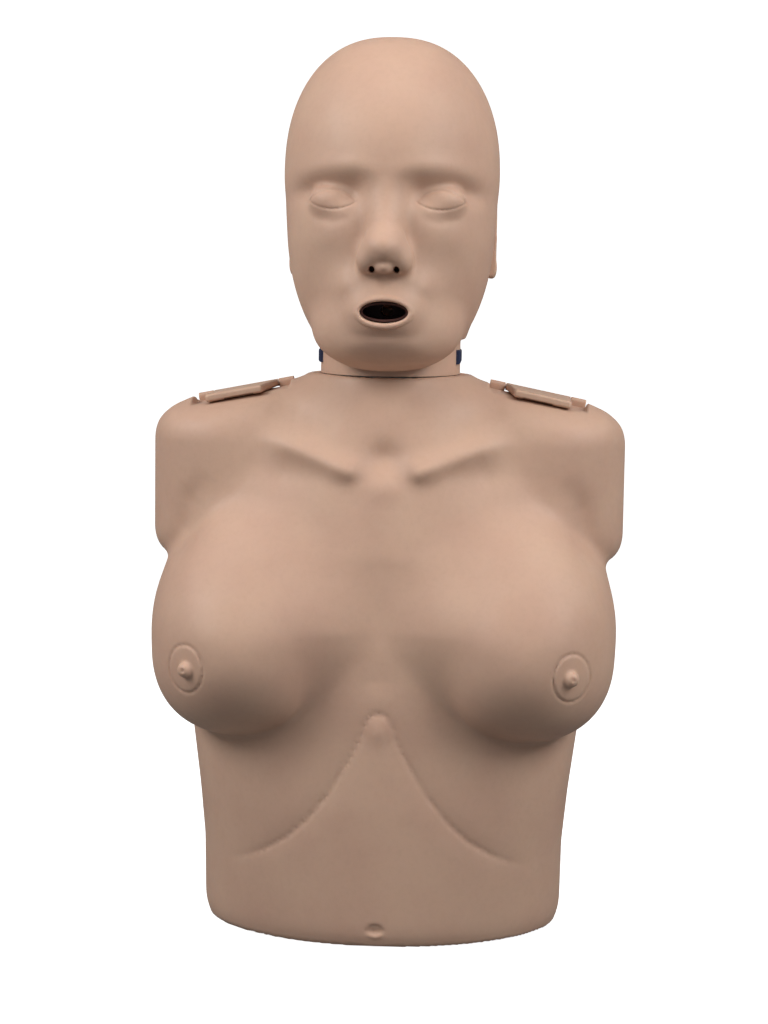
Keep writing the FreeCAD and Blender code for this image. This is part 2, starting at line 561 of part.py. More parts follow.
def chest_plate():
    """The plate under the breastbone, ribbed behind, with the plunger screwed to it."""
    sheet_part = box("plate_blank", "-plate_half", "plate_half", "plunger_front - plate_thick", "plunger_front",
                     "plate_low", "plate_high")
    plate = rounded("plate", sheet_part, "plate_round", edges_along(sheet_part, V(0, 1, 0)))
    ribs = []
    for i, x in enumerate(("rib_in - plate_half", "plate_half - rib_in")):
        ribs.append(box(f"rib_up{i}", f"{x} - rib_thick / 2", f"{x} + rib_thick / 2", "plunger_front - over",
                        "plunger_front + rib_deep", "plate_low + rib_in", "plate_high - rib_in"))
    for i, z in enumerate(("plate_low + rib_in", "plate_high - rib_in")):
        ribs.append(box(f"rib_over{i}", "rib_in - plate_half", "plate_half - rib_in", "plunger_front - over",
                        "plunger_front + rib_deep", f"{z} - rib_thick / 2", f"{z} + rib_thick / 2"))
    holes = [drill(f"plate_hole{i}", x, "plunger_front - plate_thick", z, ALONG_Y)
             for i, (x, z) in enumerate(plunger_screw_places())]
    finish(cut("plate_piece", fuse("plate_form", plate, *ribs), *holes), "chest_plate")

    barrel = cylinder("plunger_outside", "plunger_rad", "plunger_back - plunger_front", 0, "plunger_front",
                      "plunger_z", ALONG_Y)
    room = cylinder("plunger_room", "plunger_rad - plunger_wall", "far", 0, "plunger_front + plunger_floor",
                    "plunger_z", ALONG_Y)
    taps = [drill(f"plunger_tap{i}", x, "plunger_front - plate_thick", z, ALONG_Y)
            for i, (x, z) in enumerate(plunger_screw_places())]
    finish(cut("plunger_piece", barrel, room, *taps), "plunger")


def plunger_screw_places():
    """Where the plunger's two screws are, as (x, z) formulas."""
    return [("plunger_screw_x", "plunger_z"), ("-plunger_screw_x", "plunger_z")]


def lung_bag():
    """The bag that fills when the manikin is breathed into, flat on the chest plate."""
    block = box("bag_block", "-bag_half", "bag_half", "plunger_front - plate_thick - bag_gap - bag_thick",
                "plunger_front - plate_thick - bag_gap", "bag_low", "bag_high")
    finish(rounded("bag", block, "bag_round", range(1, 13)), "lung_bag")


def chest_pad():
    """The foam pad inside the skin, between the breastbone and the lung bag."""
    block = box("pad_block", "-pad_half", "pad_half", "-far / 4",
                "plunger_front - plate_thick - bag_gap - bag_thick - pad_gap", "pad_low", "pad_high")
    finish(common("pad", block, doc.getObject("hollow")), "chest_pad")


def compression_spring():
    """The coil spring inside the plunger, from its front end to the guide's flange."""
    start = dict(Placement__Base__y="spring_front + spring_wire", Placement__Base__z="plunger_z")
    helix = doc.addObject("Part::Helix", "spring_line")
    helix.Placement = FreeCAD.Placement(V(0, 0, 0), ALONG_Y)
    bind(helix, Radius="spring_rad", Height="spring_back - spring_front - 2 * spring_wire",
         Pitch="(spring_back - spring_front - 2 * spring_wire) / spring_turns", **start)
    ring = doc.addObject("Part::Circle", "spring_section")
    bind(ring, Radius="spring_wire", Placement__Base__x="spring_rad", **start)
    doc.recompute()
    coil = doc.addObject("Part::Sweep", "spring")
    coil.Sections = [ring]
    coil.Spine = (helix, [f"Edge{n + 1}" for n in range(len(helix.Shape.Edges))])
    coil.Solid = True
    coil.Frenet = True
    finish(coil, "compression_spring")


# ---------------------------------------------------------------- screws
def screws():
    """The screws, one sub-part for each set."""
    sets = {
        "guide_screws": [(x, "seat_y", z, ALONG_MINUS_Y) for x, z in boss_places()],
        "plunger_screws": [(x, "plunger_front - plate_thick", z, ALONG_Y) for x, z in plunger_screw_places()],
        "head_screws": [(x, "head_part + 5", z, ALONG_MINUS_Y) for x, z in head_boss_places()],
    }
    for label, places in sets.items():
        made = [screw(f"{label}{i}", *where) for i, where in enumerate(places)]
        finish(group(label + "_set", *made), label)


torso_shells()
latches()
neck()
head_shells()
mouth_insert()
head_frame()
guide()
chest_plate()
lung_bag()
chest_pad()
compression_spring()
screws()

# ---------------------------------------------------------------- check and write
doc.recompute()
faults = [obj.Label for obj in doc.Objects if "Invalid" in obj.State or "Error" in obj.State]
for obj in parts:
    if obj.Shape.isNull() or not obj.Shape.isValid() or obj.Shape.Volume <= 0:
        faults.append(obj.Label)
if faults:
    raise RuntimeError("these did not build: " + ", ".join(faults))

os.makedirs("parts", exist_ok=True)
for obj in parts:
    obj.Shape.exportStep(f"parts/{obj.Label}.step")
    print(f"{obj.Label:22s} {len(obj.Shape.Solids)} solids {obj.Shape.Volume / 1000:9.2f} cm3")
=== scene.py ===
import json
import math

import bmesh
import bpy
import numpy as np
from mathutils import Matrix, Vector


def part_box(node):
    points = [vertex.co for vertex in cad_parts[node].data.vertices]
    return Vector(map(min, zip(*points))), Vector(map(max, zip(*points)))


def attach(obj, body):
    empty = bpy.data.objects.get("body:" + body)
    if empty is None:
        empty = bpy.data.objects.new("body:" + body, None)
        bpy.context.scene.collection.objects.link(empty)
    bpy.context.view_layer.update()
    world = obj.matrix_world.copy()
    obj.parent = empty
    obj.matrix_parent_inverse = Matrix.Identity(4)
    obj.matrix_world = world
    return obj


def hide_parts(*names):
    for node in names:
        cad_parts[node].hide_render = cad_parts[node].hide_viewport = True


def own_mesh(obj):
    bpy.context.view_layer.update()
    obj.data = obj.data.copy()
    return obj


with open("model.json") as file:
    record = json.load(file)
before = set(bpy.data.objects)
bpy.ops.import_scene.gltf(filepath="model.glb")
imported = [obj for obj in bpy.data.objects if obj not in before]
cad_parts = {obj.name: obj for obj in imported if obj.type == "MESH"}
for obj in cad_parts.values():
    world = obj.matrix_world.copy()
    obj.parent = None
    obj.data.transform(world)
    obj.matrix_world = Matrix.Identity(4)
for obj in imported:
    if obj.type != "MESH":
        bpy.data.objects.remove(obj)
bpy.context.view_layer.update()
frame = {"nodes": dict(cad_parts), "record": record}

# The manikin's soft outer forms are drawn as distance fields in millimetres, meshed here, and put in place
# of the plain CAD shells. The foam pad, the lung bag and the spring are made here too. The other works are
# the CAD parts with better materials. A field takes a point (x, y, z) and is negative inside the form.

MM = 0.001


def low(node):
    """Lowest corner of a CAD node, in millimetres."""
    return np.array(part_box(node)[0]) / MM


def high(node):
    """Highest corner of a CAD node, in millimetres."""
    return np.array(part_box(node)[1]) / MM


# ---------------------------------------------------------------- places taken from the frame
CROWN = high("face_shell")[2]
PART = (high("torso_skin")[1] + low("back_shell")[1]) / 2
HEAD_PART = (high("face_shell")[1] + low("head_back_shell")[1]) / 2
NECK_Y = (low("neck_tube")[1] + high("neck_tube")[1]) / 2
TILT_Z = (low("pivot_block_left")[2] + high("pivot_block_left")[2]) / 2

# ---------------------------------------------------------------- sizes that several forms share
WALL = 3.0                  # how far the room inside a shell is set in
THICK = 4.3                 # the least wall that the features may leave
SPLIT_GAP = 0.25            # half the gap between the head's shells
BODY_GAP = 0.3              # half the gap between the torso's shells
RIM_Z = 407.4               # top of the torso's rim round the neck
NECK_HOLE = 49.0            # radius of the hole that the neck passes through
COLLAR_RAD = 53.0           # radius of the room inside the head's skirt
SWING_RAD = 54.5            # radius of the ball of room that the head tilts about
SCREW_RAD = 4.6             # radius of the wells over the screws
LATCH_SEAT = (109.0, 390.4)
SHOULDER_SLOPE = math.radians(11.3)


# ---------------------------------------------------------------- fields
def smin(a, b, k):
    """Union of two fields with a blend about k wide."""
    h = np.clip(0.5 + 0.5 * (b - a) / k, 0, 1)
    return b * (1 - h) + a * h - k * h * (1 - h)


def smax(a, b, k):
    """Overlap of two fields with a blend about k wide."""
    return -smin(-a, -b, k)


def oval(p, centre, radii, power=2.0):
    """Ellipsoid; a power over 2 squares it in the XZ plane."""
    x, y, z = (np.abs(v - c) / r for v, c, r in zip(p, centre, radii))
    if power == 2.0:
        plane = x * x + z * z
    else:
        plane = (x ** power + z ** power + 1e-9) ** (2 / power)
    k0 = np.sqrt(plane + y * y) + 1e-6
    k1 = np.sqrt((x / radii[0]) ** 2 + (y / radii[1]) ** 2 + (z / radii[2]) ** 2) + 1e-6
    return k0 * (k0 - 1) / k1


def limb(p, a, b, ra, rb):
    """A rod from a to b whose radius goes from ra to rb."""
    a, b = np.array(a, float), np.array(b, float)
    d = b - a
    t = sum((v - c) * e for v, c, e in zip(p, a, d)) / float(d @ d)
    t = np.clip(t, 0, 1)
    gap = np.sqrt(sum((v - (c + t * e)) ** 2 for v, c, e in zip(p, a, d)))
    return gap - (ra + (rb - ra) * t)


def smooth_profile(knots, soft=10.0):
    """A curve through (height, value, ...) rows, rounded over a length; gives one value per column."""
    rows = np.array(sorted(knots), float)
    heights = np.arange(rows[0, 0] - 3 * soft, rows[-1, 0] + 3 * soft, 1.0)
    kernel = np.hanning(int(2 * soft) | 1)
    kernel /= kernel.sum()
    edge = len(kernel) // 2
    columns = []
    for i in range(1, rows.shape[1]):
        line = np.interp(heights, rows[:, 0], rows[:, i])
        columns.append(np.convolve(np.pad(line, edge, mode="edge"), kernel, mode="valid"))
    return lambda z: [np.interp(z, heights, c) for c in columns]


def near_line(x, z, points):
    """Distance in the XZ plane to a broken line, and how far along it, from 0 to 1."""
    pts = [np.array(q, float) for q in points]
    lengths = [np.linalg.norm(b - a) for a, b in zip(pts, pts[1:])]
    total = sum(lengths)
    best = np.full(x.shape, 1e6, np.float32)
    along = np.zeros(x.shape, np.float32)
    done = 0.0
    for a, b, length in zip(pts, pts[1:], lengths):
        d = b - a
        t = np.clip(((x - a[0]) * d[0] + (z - a[1]) * d[1]) / length ** 2, 0, 1)
        gap = np.hypot(x - a[0] - t * d[0], z - a[1] - t * d[1])
        nearer = gap < best
        best = np.where(nearer, gap, best)
        along = np.where(nearer, (done + t * length) / total, along)
        done += length
    return best, along


def bell(d, width):
    """1 at nothing, falling smoothly to 0 by about twice the width."""
    return np.exp(-(d / width) ** 2)


def taper(t, fade=0.2):
    """1 along the middle of a line, fading to 0 at both ends."""
    return np.clip(t / fade, 0, 1) * np.clip((1 - t) / fade, 0, 1)


# ---------------------------------------------------------------- meshing
def ticks(start, stop, coarse, fine=None, spans=()):
    """Grid places from start to stop, coarse apart, or fine apart inside the spans."""
    places = [start]
    while places[-1] < stop:
        here = places[-1]
        inside = any(a <= here < b for a, b in spans)
        places.append(here + (fine if inside else coarse))
    return np.array(places, np.float32)


def both_sides(*spans):
    """Spans and their mirror images."""
    return [s for a, b in spans for s in ((a, b), (-b, -a))]


def net(field, xs, ys, zs):
    """Vertices and quads of the surface where field is nought, by surface nets, then drawn onto it."""
    grid = np.meshgrid(xs, ys, zs, indexing="ij")
    values = field(grid).astype(np.float32)
    inside = values < 0
    shape = tuple(n - 1 for n in values.shape)
    corners = [(i, j, k) for i in (0, 1) for j in (0, 1) for k in (0, 1)]

    def at(a, c):
        return a[c[0]:c[0] + shape[0], c[1]:c[1] + shape[1], c[2]:c[2] + shape[2]]

    count = sum(at(inside, c).astype(np.int8) for c in corners)
    cells = np.nonzero((count > 0) & (count < 8))
    axes = (xs, ys, zs)
    total = np.zeros((len(cells[0]), 3))
    hits = np.zeros(len(cells[0]))
    for axis in range(3):
        for c in corners:
            if c[axis]:
                continue
            a = tuple(cells[n] + c[n] for n in range(3))
            b = tuple(a[n] + (n == axis) for n in range(3))
            va, vb = values[a], values[b]
            cross = (va < 0) != (vb < 0)
            t = np.where(cross, va / np.where(cross, va - vb, 1), 0)
            for n in range(3):
                place = axes[n][a[n]]
                if n == axis:
                    place = place + t * (axes[n][b[n]] - place)
                total[:, n] += np.where(cross, place, 0)
            hits += cross
    points = total / hits[:, None]

    number = np.full(shape, -1, np.int64)
    number[cells] = np.arange(len(points))
    quads = []
    for axis in range(3):
        u, v = [(1, 2), (2, 0), (0, 1)][axis]
        size = list(values.shape)
        size[axis] -= 1
        lo = [slice(0, values.shape[n]) for n in range(3)]
        hi = list(lo)
        lo[axis] = slice(0, size[axis])
        hi[axis] = slice(1, values.shape[axis])
        first, second = inside[tuple(lo)], inside[tuple(hi)]
        edge = np.nonzero(first != second)
        keep = (edge[u] > 0) & (edge[v] > 0) & (edge[u] < shape[u]) & (edge[v] < shape[v])
        edge = tuple(e[keep] for e in edge)
        out = first[edge]
        ring = []
        for du, dv in ((-1, -1), (0, -1), (0, 0), (-1, 0)):
            cell = list(edge)
            cell[u] = cell[u] + du
            cell[v] = cell[v] + dv
            ring.append(number[tuple(cell)])
        ring = np.stack(ring, 1)
        ring[~out] = ring[~out][:, ::-1]
        quads.append(ring)
    quads = np.concatenate(quads)
    quads = quads[(quads >= 0).all(1)]

    step = float(min(np.diff(xs).min(), np.diff(ys).min(), np.diff(zs).min()))
    probe = 0.25
    here = field([points[:, n] for n in range(3)])
    for _ in range(3):
        slope = np.empty_like(points)
        for n in range(3):
            moved = points.copy()
            moved[:, n] += probe
            slope[:, n] = (field([moved[:, m] for m in range(3)]) - here) / probe
        steep = np.maximum((slope ** 2).sum(1), 0.05)
        move = -(here / steep)[:, None] * slope
        far = np.linalg.norm(move, axis=1, keepdims=True)
        moved = points + move * np.minimum(1, 0.5 * step / np.maximum(far, 1e-9))
        there = field([moved[:, n] for n in range(3)])
        nearer = np.abs(there) < np.abs(here)
        points[nearer] = moved[nearer]
        here = np.where(nearer, there, here)
    return points, quads


def mesh_piece(name, points, faces):
    """A smooth mesh object from points in millimetres."""
    mesh = bpy.data.meshes.new(name)
    faces = faces.tolist() if isinstance(faces, np.ndarray) else faces
    mesh.from_pydata((np.asarray(points) * MM).tolist(), [], faces)
    mesh.update()
    mesh.polygons.foreach_set("use_smooth", np.ones(len(mesh.polygons), bool))
    obj = bpy.data.objects.new(name, mesh)
    bpy.context.collection.objects.link(obj)
    return obj


def moulded(name, field, xs, ys, zs, body, slot, material, *nodes):
    """Meshes a field as a moulded piece that rides on body in place of the CAD nodes."""
    points, quads = net(field, xs, ys, zs)
    obj = mesh_piece(name, points, quads)
    obj.data.materials.append(material)
    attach(obj, body)
    if nodes:
        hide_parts(*nodes)
    return obj


# ---------------------------------------------------------------- the head's form
CRANIUM = ((0, 14, CROWN - 90), (76.2, 92, 88.6))
LOWER_FACE = ((0, -2, 530), (75.4, 73, 118))
EYE = np.array((38.0, 532.0))
EYE_HALF, LID_UP, LID_DOWN = 17.0, 8.2, 5.4
EYE_BAG = [(20, 527), (28, 520.5), (38, 518), (50, 520.5), (58, 527)]
MOUTH_Z = (low("mouth_insert")[2] + high("mouth_insert")[2]) / 2
MOUTH_A, MOUTH_B = 17.0, 7.6
LIP_A, LIP_B = 18.8, 9.5


def skull(p, inset=0.0):
    """The bald head without its features."""
    x, y, z = p
    cranium = oval(p, CRANIUM[0], [r - inset for r in CRANIUM[1]], 2.14)
    lower = oval(p, LOWER_FACE[0], [r - inset for r in LOWER_FACE[1]], 2.5)
    head = smin(cranium, lower, 12)
    rise = np.maximum(z - 432, 0)
    nape_rad = 53.6 - inset + 2.8 * (1 - np.exp(-rise / 4)) + np.minimum(rise * 0.13, 11)
    nape = np.maximum(np.hypot(x, y - NECK_Y) - nape_rad, np.abs(z - 470) - 48)
    head = smin(head, nape, 6)
    muzzle = oval(p, (0, -40, 462), (38 - inset, 42 - inset, 34 - inset))
    chin = oval(p, (0, -33, 441.5), (52.5 - inset, 46.5 - inset, 28.5 - inset), 2.2)
    return smin(smin(head, muzzle, 24), chin, 12)


def lids(x, z):
    """Distance from the outline of the closed eye, negative inside, and height over the eye's middle."""
    u = (x - EYE[0]) / EYE_HALF
    arch = np.clip(1 - u * u, 0, 1)
    upper = EYE[1] + LID_UP * arch ** 0.85
    lower = EYE[1] - LID_DOWN * arch ** 0.9
    rise = np.where(z > EYE[1], z - upper, lower - z)
    over = np.maximum(np.abs(x - EYE[0]) - EYE_HALF, 0)
    return np.where(over > 0, np.hypot(over, z - EYE[1]), rise * 0.86)


def brows_and_cheeks(d, side, z, front):
    """The face d with sockets, brows over them, cheekbones and hollows."""
    arched = z + ((side - 32) / 30) ** 2 * 2.5
    socket = np.exp(-np.abs((side - 40) / 25) ** 3 - ((arched - 540.5) / 9.0) ** 2)
    d = d + front * 7.4 * socket
    inner = bell(np.hypot((side - 20) / 8.5, (z - 538) / 12), 1.0)
    d = d + front * 3.6 * inner
    brow = np.exp(-np.abs((side - 34) / 28) ** 3 - ((arched - 556) / 7) ** 2)
    d = d - front * 1.3 * brow
    d = d - front * 2.2 * bell(np.hypot((side - 42) / 22, (z - 508) / 14), 1.0)
    d = d + front * 1.2 * bell(np.hypot((side - 50) / 16, (z - 466) / 20), 1.0)
    return d - front * 1.6 * bell(np.hypot((side - 27) / 10, (z - 474) / 9), 1.0)


def closed_eyes(d, q, front):
    """The face d with the ball under each lid, the fold round it, the lower lid's rim and the bag."""
    side, _, z = q
    ball = oval(q, (EYE[0] - 1, -53.0, EYE[1] + 0.5), (18.0, 14.4, 13.0))
    d = smin(d, ball, 5)
    edge = lids(side, z)
    lower_lid = np.clip((EYE[1] - z) / 3, 0, 1)
    d = d + front * (0.60 + 0.20 * lower_lid) * bell(edge, 0.60)
    pouch, t = near_line(side, z, EYE_BAG)
    return d + front * 0.6 * bell(pouch, 3.6) * taper(t, 0.3)


def nose(d, q, front):
    """The face d with the nose and the creases beside its wings."""
    side, y, z = q
    bridge = limb(q, (0, -60, 552), (0, -80.5, 507), 9.5, 13.0)
    tip = oval(q, (0, -87.5, 500.5), (14.5, 14.5, 12.0))
    wing = oval(q, (12.2, -82.5, 491.8), (8.4, 11.0, 9.0))
    d = smin(d, smin(smin(bridge, tip, 8), wing, 8), 9)
    base = oval(q, (0, -86.5, 487.0), (6.5, 9.5, 4.8))
    d = smin(d, base, 3.5)
    return d + front * 0.7 * bell(np.hypot((side - 20.8) / 2.6, (z - 490) / 8), 1.0) * (y < -60)


def lips_and_chin(d, q, front):
    """The face d with the groove under the nose, the lips round the mouth, and the chin's crease."""
    side, y, z = q
    d = d + front * 0.9 * bell(side, 3.0) * bell(z - 471.5, 5.5)
    ring = np.hypot(side / LIP_A, (z - MOUTH_Z) / LIP_B) + 1e-6
    flat = (ring - 1) * np.hypot(side, z - MOUTH_Z) / ring
    lip_y = -86.0 + 0.010 * side ** 2 + np.clip(z - MOUTH_Z, 0, 20) * 0.06
    lips = np.sqrt(flat ** 2 + (y - lip_y) ** 2 + 1e-6) - np.where(z < MOUTH_Z, 2.6, 2.3)
    pad = oval(q, (0, -72, MOUTH_Z), (25, 15.5, 16))
    d = smin(smin(d, pad, 9), lips, 1.3)
    d = d + front * 1.3 * bell(z - 439.0, 3.8) * bell(side, 17)
    return d - front * 0.8 * bell(np.hypot((side - 23) / 10, (z - 430) / 7), 1.0)


def face(p):
    """The outer form of the head with its features, which are made alike on both sides."""
    x, y, z = p
    q = (np.abs(x), y, z)
    front = np.clip((20 - y) / 20, 0, 1)
    d = brows_and_cheeks(skull(p), q[0], z, front)
    d = closed_eyes(d, q, front)
    d = nose(d, q, front)
    return lips_and_chin(d, q, front)


def mouth_hole(p):
    """The oval way in between the lips."""
    x, y, z = p
    r = np.hypot(x / MOUTH_A, (z - MOUTH_Z) / MOUTH_B) + 1e-6
    return (r - 1) * np.hypot(x, z - MOUTH_Z) / r


def swing(p):
    """Room for the neck as the head tilts."""
    x, y, z = p
    return np.sqrt(x * x + (y - NECK_Y) ** 2 + (z - TILT_Z) ** 2) - SWING_RAD


def hollowed(outer, room, thick=THICK):
    """outer with room cut out of it, but nowhere thinner than the wall."""
    return smax(outer, -np.maximum(room, outer + thick), 0.8)


def head_wall(p, outer):
    """A head form as a wall that is open round the neck."""
    x, y, z = p
    d = hollowed(outer, skull(p, WALL))
    collar = np.maximum(np.hypot(x, y - NECK_Y) - COLLAR_RAD, z - 450)
    return smax(d, -np.minimum(collar, swing(p)), 0.8)


def face_shell(p):
    """The front shell of the head."""
    x, y, z = p
    d = head_wall(p, face(p))
    d = smax(d, -mouth_hole(p), 1.0)
    d = smax(d, under_cut(p), 0.8)
    nostril = np.maximum(np.hypot(np.abs(x) - 8.6, z - 485.4) - 2.2, y + 70)
    d = np.maximum(d, -nostril)
    return smax(d, y - (HEAD_PART - SPLIT_GAP), 0.6)


def under_cut(p):
    """Positive below the skirt's rim, behind the chin."""
    x, y, z = p
    level = 434 + np.clip((y - 16) / 14, 0, 1) * 5
    return np.minimum(level - z, (y - (NECK_Y - 53.5)))


def ear(p):
    """Both ears: a rim, a hollow, a tragus and a lobe."""
    x, y, z = p
    side = np.abs(x)
    lean = math.radians(12)
    v = (y - 41) * math.cos(lean) - (z - 511) * math.sin(lean)
    w = (y - 41) * math.sin(lean) + (z - 511) * math.cos(lean)
    q = (side, v, w)
    body = oval(q, (69.5, 0, 0), (7.2, 14.5, 31))
    bowl = oval(q, (77.5, 0.5, -2), (6.0, 8.5, 17))
    ridge = np.sqrt((np.hypot(v / 12.5, w / 28) - 1) ** 2 * 190 + (side - 74.2) ** 2) - 2.3
    lobe = oval(q, (71.5, -3, -25), (4.2, 7.5, 8.0))
    tragus = oval(q, (73, -9.5, -6), (3.4, 3.6, 6))
    d = smin(smax(body, -bowl, 3), ridge, 3)
    return smin(smin(d, lobe, 4), tragus, 2.5)


HEAD_SCREWS = [(sign * x, z) for sign in (-1, 1) for x, z in ((57.5, 487), (63, 592))]


def rear_shell(p):
    """The rear shell of the head, with the ears and the sunk screws."""
    x, y, z = p
    outer = smin(skull(p), ear(p), 3.5)
    d = head_wall(p, outer)
    for sx, sz in HEAD_SCREWS:
        post = np.maximum(np.hypot(x - sx, z - sz) - 5.5, skull(p))
        d = np.minimum(d, post)
        sink = np.maximum(np.hypot(x - sx, z - sz) - SCREW_RAD, (HEAD_PART + 5) - y)
        d = smax(d, -sink, 0.8)
    d = smax(d, under_cut(p), 0.8)
    return smax(d, (HEAD_PART + SPLIT_GAP) - y, 0.6)


# ---------------------------------------------------------------- the torso's form
# the trunk's half width, half depth and middle for each height; the yoke's top and half depth for each side
TRUNK = smooth_profile([(0, 129, 90.5, 13), (5, 132, 93, 13), (14, 133.6, 93.8, 13),
                        (60, 134.2, 92.4, 12), (100, 138, 92, 12), (150, 144.5, 92, 14),
                        (215, 150, 92, 15), (280, 151, 88.5, 18), (330, 141, 79, 21),
                        (360, 113, 67.5, 22), (385, 82, 58.5, 21), (407, 54.5, 52.3, 20)], 9)
CREST = smooth_profile([(0, 406), (52, 405), (75, 401.5), (100, 397.4), (125, 392), (145, 386),
                        (160, 379)], 8)
YOKE_DEEP = smooth_profile([(0, 60), (60, 60), (100, 54), (125, 46), (150, 30)], 8)
BREAST = ((100.3, -32, 212), (68.2, 73.5, 67.2))
NIPPLE = np.array((135.8, 202.6))


def torso(p, inset=0.0):
    """The torso's form without its fine features."""
    x, y, z = p
    side = np.abs(x)
    q = (side, y, z)
    wide, deep, mid = TRUNK(z)
    wide, deep = wide - inset, deep - inset
    k0 = np.hypot(x / wide, (y - mid) / deep) + 1e-6
    k1 = np.hypot(x / wide ** 2, (y - mid) / deep ** 2) + 1e-6
    trunk = k0 * (k0 - 1) / k1
    trunk = smax(trunk, z - (RIM_Z - inset), 2.4)

    crest, = CREST(side)
    half_deep, = YOKE_DEEP(side)
    half_high = (crest - 282) / 2
    u = (y - 18) / (half_deep - inset)
    v = (z - (crest + 282) / 2) / (half_high - inset)
    k = np.hypot(u, v) + 1e-6
    grade = np.hypot(u / (half_deep - inset), v / (half_high - inset)) + 1e-6
    yoke = smax(k * (k - 1) / grade, side - (150 - inset), 12)

    body = smin(trunk, yoke, 16)
    breast = oval(q, BREAST[0], [r - inset for r in BREAST[1]], 2.35)
    upper = oval(q, (98, -14, 250), (61 - inset, 64 - inset, 62 - inset))
    middle = oval(q, (58, -24, 226), (50 - inset, 56 - inset, 46 - inset))
    bust = smin(smin(breast, upper, 26), middle, 22)
    blend = 4 + np.clip((z - 168) / 60, 0, 1) * 24
    body = smin(body, bust, blend)
    stump = (np.hypot((side - 125) / 49.4, (y - 18) / 50.5) - 1) * 50 + inset
    arm = smax(stump, np.abs(z - 325) - (55.5 - inset), 24)
    return smin(body, arm, 5 + 16 * np.clip((z - 300) / 60, 0, 1))


COLLAR_BONE = [(25, 342.5), (39, 347), (64, 356.5), (95, 366.5)]
RIB_ARCH = [(0, 170), (5, 168.6), (9, 163), (12.5, 152), (19, 139), (35, 111), (51, 90.5), (65, 77),
            (82, 65.5), (98, 58), (112, 53)]
ARMPIT_FOLD = [(158.5, 273), (146.5, 294), (140.5, 318), (129, 337)]


def chest_features(p):
    """How far the fine features stand proud of the torso's front."""
    x, y, z = p
    side = np.abs(x)
    front = np.clip((12 - y) / 12, 0, 1)
    bone, t = near_line(side, z, COLLAR_BONE)
    swell = 0.55 + 0.45 * np.clip(1 - t * 1.2, 0, 1)
    out = 6.4 * bell(bone, 8.0) * swell * np.clip((1 - t) / 0.35, 0, 1)
    out = out + 2.2 * bell(np.hypot(side - 30, z - 343), 10)
    hollow, t = near_line(side, z, [(34, 366), (60, 376), (88, 385)])
    out = out - 3.2 * bell(hollow, 11) * taper(t, 0.4)
    below, t = near_line(side, z, [(42, 330), (75, 338), (104, 346)])
    out = out - 3.0 * bell(below, 12) * taper(t, 0.5)
    out = out - 6.8 * bell(np.hypot(x / 1.05, (z - 349.5) / 1.05), 11)
    out = out + 1.7 * bell(np.hypot(x / 1.5, (z - 331) / 1.2), 9)
    fold, t = near_line(side, z, ARMPIT_FOLD)
    out = out - 3.2 * bell(fold, 9) * taper(t, 0.35)
    arch, t = near_line(side, z, RIB_ARCH)
    out = out - 1.1 * bell(arch, 1.7) * np.clip((1 - t) / 0.2, 0, 1)
    out = out - 1.1 * bell(arch, 8) * np.clip((1 - t) / 0.25, 0, 1)
    out = out + 1.3 * bell(np.hypot(x, (z - 157) / 1.3), 6.5)
    out = out - 2.4 * bell(x, 13) * np.clip((z - 168) / 25, 0, 1) * np.clip((312 - z) / 40, 0, 1)
    return out * front


def navel(p):
    """The navel: a dent with an upper hood and a lower lip."""
    x, y, z = p
    r = np.hypot(x / 5.0, (z - 12.4) / 3.5)
    hood, _ = near_line(x, z, [(-5.2, 13), (-3.0, 15.9), (0, 16.9), (3.0, 15.9), (5.2, 13)])
    out = 2.7 * bell(r, 0.75) + 1.0 * bell(hood, 1.2) - 0.9 * bell(np.hypot(x - 0.6, z - 12.4), 1.5)
    lip, _ = near_line(x, z, [(-3.6, 9.3), (0, 8.0), (3.6, 9.3)])
    return (out - 0.8 * bell(lip, 1.4)) * np.clip(-y / 20, 0, 1)


def areola(p):
    """The ringed oval round each nipple, as a height."""
    x, y, z = p
    side = np.abs(x)
    r = np.hypot((side - NIPPLE[0]) / 13.0, (z - NIPPLE[1]) / 17.4)
    ring = (r - 1) * 15
    return (0.35 * np.clip((1.0 - r) * 8, 0, 1) - 0.95 * bell(ring, 0.8)) * (y < -20)


def nipples(p):
    """Both nipples, round and dimpled."""
    x, y, z = p
    side = np.abs(x)
    q = (side, y, z)
    knob = oval(q, (NIPPLE[0], NIPPLE_Y, NIPPLE[1]), (5.6, 5.0, 5.6))
    dimple = oval(q, (NIPPLE[0] + 1.6, NIPPLE_Y - 5.2, NIPPLE[1]), (1.5, 2.4, 1.5))
    return smax(knob, -dimple, 0.7)


def surface_y(field, x, z, start=-140.0, stop=0.0):
    """Where the field's surface is, coming from the front at x and z."""
    ys = np.arange(start, stop, 0.1)
    values = field([np.full(ys.shape, x), ys, np.full(ys.shape, z)])
    return float(ys[np.argmax(values < 0)])


NIPPLE_Y = surface_y(torso, *NIPPLE) - 1.2


def lean_frame(p):
    """The point's place in the frame that leans with the shoulder, about the latch."""
    x, y, z = p
    across, up = np.abs(x) - LATCH_SEAT[0], z - LATCH_SEAT[1]
    u = across * math.cos(SHOULDER_SLOPE) - up * math.sin(SHOULDER_SLOPE)
    w = across * math.sin(SHOULDER_SLOPE) + up * math.cos(SHOULDER_SLOPE)
    return u, y, w


def latch_recess(p):
    """The recess that the latch lies in, with rounded ends, open to the front."""
    u, y, w = lean_frame(p)
    end = np.maximum(np.abs(u) - 30.5, 0)
    long_way = np.maximum(y - 46, 0)
    plan = np.hypot(end, long_way) - 6.0
    return np.maximum(plan, -0.5 - w)


def latch_seat(p):
    """The thick floor under that recess."""
    u, y, w = lean_frame(p)
    return np.maximum(np.maximum(np.abs(u) - 39, np.abs(y - 15) - 42), np.maximum(w + 0.5, -4.5 - w))


